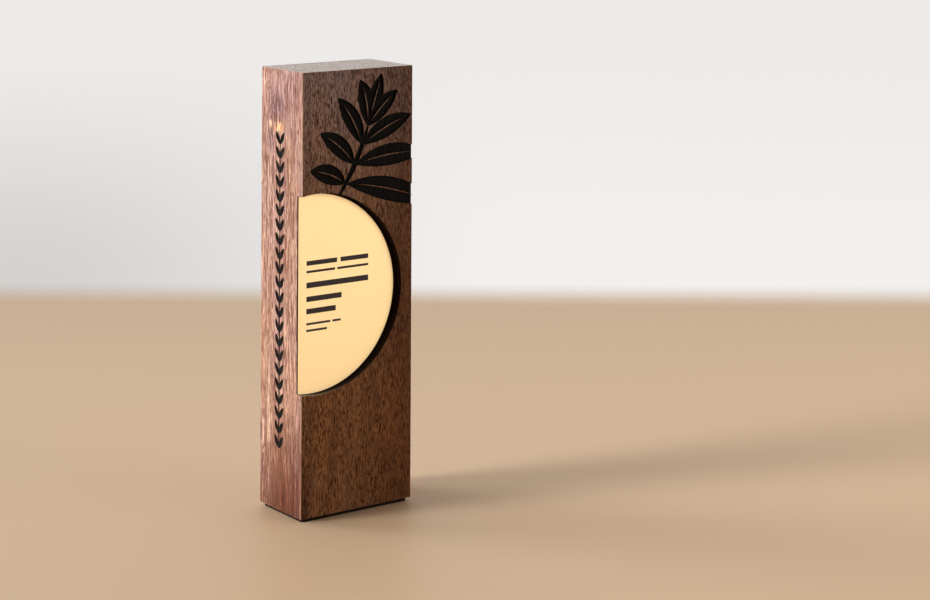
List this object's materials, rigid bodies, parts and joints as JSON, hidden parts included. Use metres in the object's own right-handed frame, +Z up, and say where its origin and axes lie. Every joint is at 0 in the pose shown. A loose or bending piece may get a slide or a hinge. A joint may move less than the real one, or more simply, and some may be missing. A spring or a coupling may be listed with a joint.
{
  "type": "wooden plaque",
  "caption": "Free-standing award plaque: an upright walnut block with a brass plate let into a round pocket in its front, and a burnt leaf design.",
  "frame": {"origin": "centre of the footprint on the surface that the award stands on, at the underside of the base pad", "axes": "+Z up along the block's height; the front with the plate faces -Y; +X to the block's right as the reader sees it"},
  "size_m": [0.0762, 0.0444, 0.256],
  "materials": {
    "walnut": "hand-rubbed oil, satin; burnt black in the recessed leaf design",
    "brass": "fine horizontal brushing, clear lacquer",
    "black_enamel": "matte black paint fill",
    "foam_tape": "closed-cell foam",
    "pad_rubber": "matte, finely textured",
    "adhesive_film": "clear amber film"
  },
  "bodies": {
    "root": {"walnut_block": "walnut", "brass_plate": "brass", "plate_fill": "black_enamel", "plate_tape": "foam_tape", "base_pad": "pad_rubber", "pad_film": "adhesive_film"}
  },
  "joints": []
}
